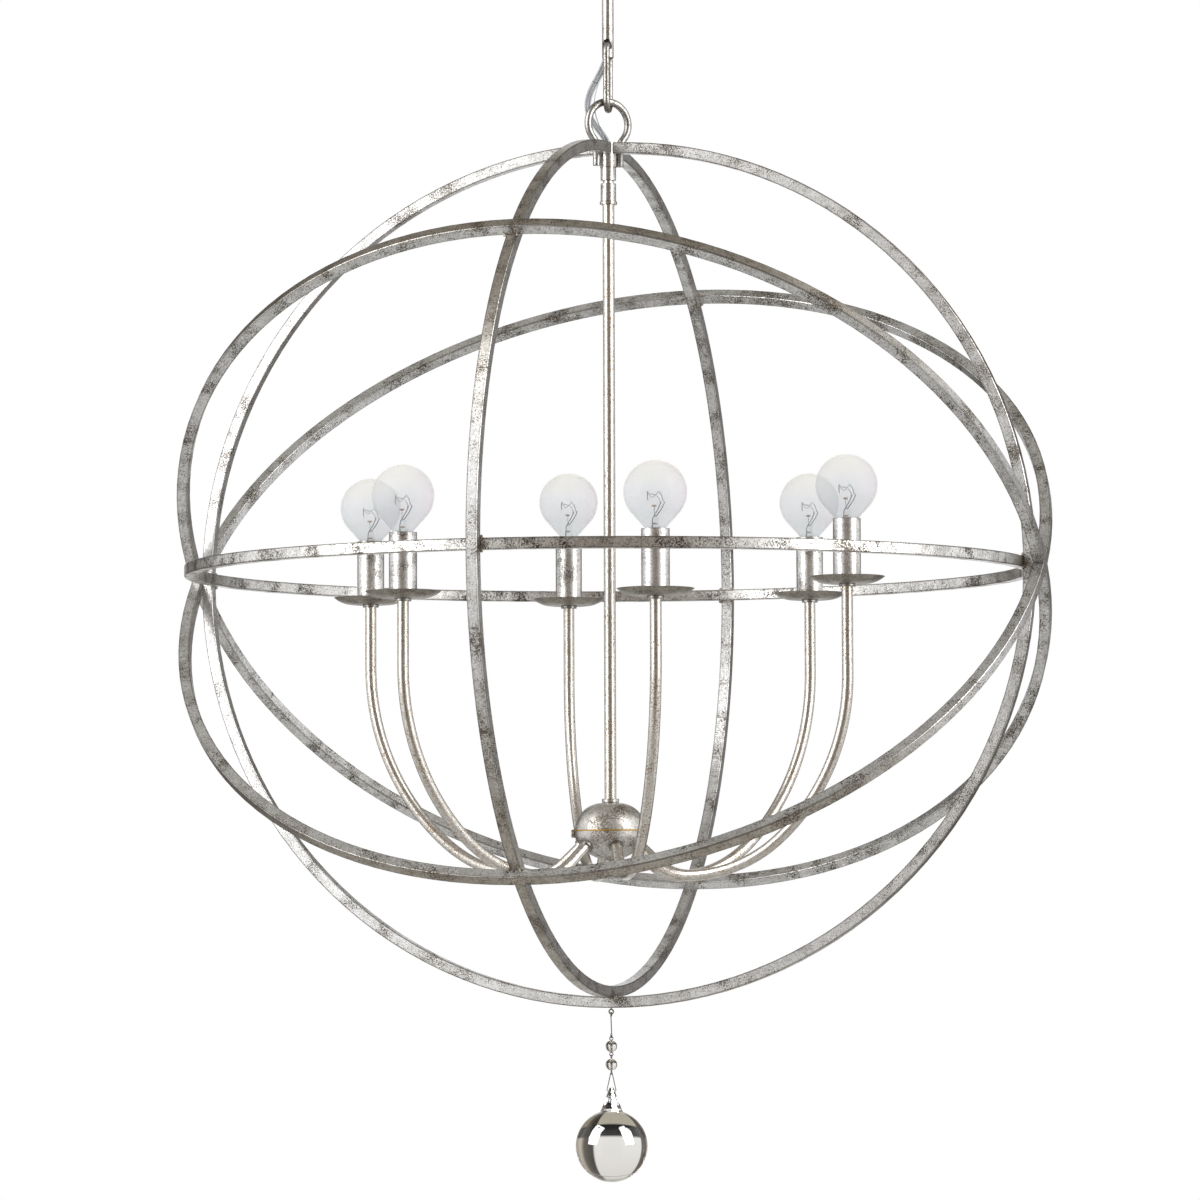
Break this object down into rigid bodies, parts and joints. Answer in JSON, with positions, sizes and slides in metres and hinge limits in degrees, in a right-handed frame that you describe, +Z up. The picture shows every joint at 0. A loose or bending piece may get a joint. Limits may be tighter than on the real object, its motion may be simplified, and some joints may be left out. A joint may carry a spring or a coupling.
{
  "type": "orb chandelier",
  "caption": "Openwork orb of welded square-bar hoops around a candelabra with candle lamps, hung on a rod and link, with a crystal drop below.",
  "frame": {"origin": "centre of the mounting strap's ceiling face, on the rod's axis", "axes": "+Z up into the ceiling; the side hoop lies in the XZ plane and the front hoop in the YZ plane, front towards -Y"},
  "size_m": [0.763, 0.7317, 1.3045],
  "materials": {
    "silver_leaf": "antique silver leaf over steel, brown rubbed edges",
    "plated_steel": "zinc plated",
    "bushing": "moulded",
    "clear_cord": "clear jacket over tinned and copper strands",
    "wire": "insulated lead",
    "socket": "phenolic",
    "bulb_cap": "bright",
    "bulb_mount": "clear, with support wires",
    "bulb_glass": "clear, faintly pearly",
    "drop_wire": "thin plated wire",
    "crystal": "clear, polished"
  },
  "bodies": {
    "ceiling_set": {"canopy": "silver_leaf", "mounting_strap": "plated_steel", "nipple_locknut": "plated_steel", "canopy_screws": "silver_leaf", "rod_nipple": "plated_steel", "rod_coupling": "silver_leaf", "down_rod": "silver_leaf", "outlet_bushing": "bushing", "cord_in_rod": "clear_cord", "supply_cord_upper": "clear_cord"},
    "link": {"hanging_link": "silver_leaf"},
    "orb": {"side_hoop": "silver_leaf", "front_hoop": "silver_leaf", "forward_tilted_hoop": "silver_leaf", "back_tilted_hoop": "silver_leaf", "level_hoop": "silver_leaf", "hanging_loop": "silver_leaf", "top_hub": "silver_leaf", "hub_bushing": "bushing", "swivel_stud": "silver_leaf", "supply_cord_lower": "clear_cord", "drop_eyelet": "drop_wire"},
    "candelabra": {"swivel_body": "silver_leaf", "swivel_screw": "plated_steel", "stem": "silver_leaf", "stem_collar": "silver_leaf", "hub_dome": "silver_leaf", "hub_body": "silver_leaf", "hub_side_screw": "silver_leaf", "hub_tie_rod": "plated_steel", "hub_finial": "silver_leaf", "arm_1": "silver_leaf", "arm_2": "silver_leaf", "arm_3": "silver_leaf", "arm_4": "silver_leaf", "arm_5": "silver_leaf", "arm_6": "silver_leaf", "arm_collars": "silver_leaf", "drip_pans": "silver_leaf", "pan_collars": "silver_leaf", "lamp_nipples": "plated_steel", "lamp_sockets": "socket", "candle_sleeves": "silver_leaf", "bulb_caps": "bulb_cap", "bulb_mounts": "bulb_mount", "inner_wires": "wire", "bulb_1": "bulb_glass", "bulb_2": "bulb_glass", "bulb_3": "bulb_glass", "bulb_4": "bulb_glass", "bulb_5": "bulb_glass", "bulb_6": "bulb_glass"},
    "drop_pin_body": {"drop_pin": "drop_wire"},
    "upper_bead_body": {"upper_bead": "crystal", "upper_bead_wire": "drop_wire"},
    "lower_bead_body": {"lower_bead": "crystal", "lower_bead_wire": "drop_wire"},
    "ball_body": {"drop_bail": "drop_wire", "drop_prism": "crystal", "drop_ball": "crystal"}
  },
  "joints": [
    {"name": "link_swing", "type": "hinge", "parent": "ceiling_set", "child": "link", "pos_m": [0, 0, -0.3304], "axis": [0.1392, -0.9903, 0], "range_deg": [-20, 20], "deforming": ["supply_cord_upper"]},
    {"name": "orb_swing", "type": "hinge", "parent": "link", "child": "orb", "pos_m": [0, 0, -0.3804], "axis": [0.7071, 0.7071, 0], "range_deg": [-20, 20], "deforming": ["supply_cord_lower"]},
    {"name": "candelabra_turn", "type": "hinge", "parent": "orb", "child": "candelabra", "pos_m": [0, 0, -0.4513], "axis": [0, 0, 1], "range_deg": [-165, 165]},
    {"name": "pin_swing", "type": "hinge", "parent": "orb", "child": "drop_pin_body", "pos_m": [0, 0, -1.162], "axis": [1, 0, 0], "range_deg": [-35, 35]},
    {"name": "upper_bead_swing", "type": "hinge", "parent": "drop_pin_body", "child": "upper_bead_body", "pos_m": [0, 0, -1.18225], "axis": [0, 1, 0], "range_deg": [-35, 35]},
    {"name": "lower_bead_swing", "type": "hinge", "parent": "upper_bead_body", "child": "lower_bead_body", "pos_m": [0, 0, -1.1977], "axis": [1, 0, 0], "range_deg": [-35, 35]},
    {"name": "ball_swing", "type": "hinge", "parent": "lower_bead_body", "child": "ball_body", "pos_m": [0, 0, -1.2132], "axis": [0, 1, 0], "range_deg": [-35, 35]}
  ]
}
